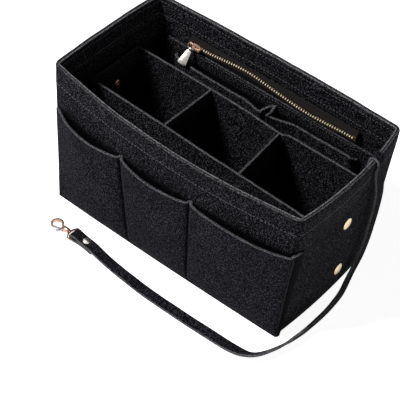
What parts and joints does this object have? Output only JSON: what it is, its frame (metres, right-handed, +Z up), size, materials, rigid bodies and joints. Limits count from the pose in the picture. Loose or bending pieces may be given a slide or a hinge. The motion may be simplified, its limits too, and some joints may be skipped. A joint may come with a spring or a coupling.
{
  "type": "purse organizer insert",
  "caption": "Soft felt tote liner with outer pockets, a removable divided insert, a zipped rear pocket and a key strap with a swivel hook.",
  "frame": {"origin": "middle of the base panel's underside, between the long and the short walls", "axes": "+X along the longest side, from the end with the zip's slider to the other; +Y from the front wall with the strap's hook to the rear wall; +Z up"},
  "size_m": [0.3078, 0.2129, 0.1666],
  "materials": {
    "outer_felt": "matt pressed felt",
    "inner_felt": "matt pressed felt",
    "zip_tape": "woven twill tape",
    "gold_metal": "polished",
    "pale_gold_metal": "satin, pale antique plating",
    "rose_gold_metal": "polished rose gold plating",
    "nickel_metal": "polished nickel plating"
  },
  "bodies": {
    "organizer": {"front_wall": "outer_felt", "back_wall": "outer_felt", "left_wall": "outer_felt", "right_wall": "outer_felt", "base_panel": "outer_felt", "front_pocket_strip": "outer_felt", "back_pocket_strip": "outer_felt", "zip_pocket_panel": "inner_felt", "zip_tape_upper": "zip_tape", "zip_tape_lower": "zip_tape", "zip_teeth_upper": "gold_metal", "zip_teeth_lower": "gold_metal", "zip_stop_upper": "gold_metal", "zip_stop_lower": "gold_metal", "zip_end_stop": "gold_metal", "slip_pocket_strip": "inner_felt", "snap_cap_left_lower": "gold_metal", "snap_stud_left_lower": "gold_metal", "snap_cap_left_upper": "gold_metal", "snap_stud_left_upper": "gold_metal", "snap_cap_right_lower": "gold_metal", "snap_stud_right_lower": "gold_metal", "snap_cap_right_upper": "gold_metal", "snap_stud_right_upper": "gold_metal", "strap": "outer_felt", "strap_rivet_cap": "pale_gold_metal", "strap_rivet_base": "pale_gold_metal"},
    "insert": {"insert_front_wall": "inner_felt", "insert_rear_wall": "inner_felt", "insert_cross_wall_left": "inner_felt", "insert_cross_wall_right": "inner_felt", "insert_left_end": "inner_felt", "insert_right_end": "inner_felt", "insert_floor": "inner_felt", "snap_socket_left_lower": "gold_metal", "snap_ring_left_lower": "gold_metal", "snap_socket_left_upper": "gold_metal", "snap_ring_left_upper": "gold_metal", "snap_socket_right_lower": "gold_metal", "snap_ring_right_lower": "gold_metal", "snap_socket_right_upper": "gold_metal", "snap_ring_right_upper": "gold_metal"},
    "slider": {"zip_slider": "gold_metal"},
    "slider_ring": {"pull_ring": "gold_metal"},
    "slider_tab": {"pull_tab": "pale_gold_metal"},
    "swivel_eye": {"swivel_eye": "rose_gold_metal"},
    "swivel_hook": {"hook_body": "rose_gold_metal", "gate_pin": "nickel_metal"},
    "hook_gate": {"hook_gate": "nickel_metal"}
  },
  "joints": [
    {"name": "insert_lift", "type": "slide", "parent": "organizer", "child": "insert", "axis": [0, 0, 1], "range_m": [0, 0.16]},
    {"name": "zip_slide", "type": "slide", "parent": "organizer", "child": "slider", "axis": [1, 0, 0], "range_m": [0, 0.183]},
    {"name": "ring_swing", "type": "hinge", "parent": "slider", "child": "slider_ring", "pos_m": [-0.08811, 0.0666, 0.13], "axis": [0, 0, 1], "range_deg": [-6, 60]},
    {"name": "tab_swing", "type": "hinge", "parent": "slider_ring", "child": "slider_tab", "pos_m": [-0.09267, 0.06612, 0.12616], "axis": [0.9794, 0.1029, -0.1736], "range_deg": [-30, 0]},
    {"name": "eye_swing", "type": "hinge", "parent": "organizer", "child": "swivel_eye", "pos_m": [-0.08091, -0.11171, 0.00405], "axis": [-0.0349, 0.9994, 0], "range_deg": [0, 110]},
    {"name": "hook_swivel", "type": "hinge", "parent": "swivel_eye", "child": "swivel_hook", "pos_m": [-0.08091, -0.11171, 0.00405], "axis": [-0.9994, -0.0349, 0], "continuous": true},
    {"name": "gate_swing", "type": "hinge", "parent": "swivel_hook", "child": "hook_gate", "pos_m": [-0.09562, -0.11442, 0.00405], "axis": [0, 0, -1], "range_deg": [0, 25], "stiffness_Nm_per_rad": 0.004}
  ]
}
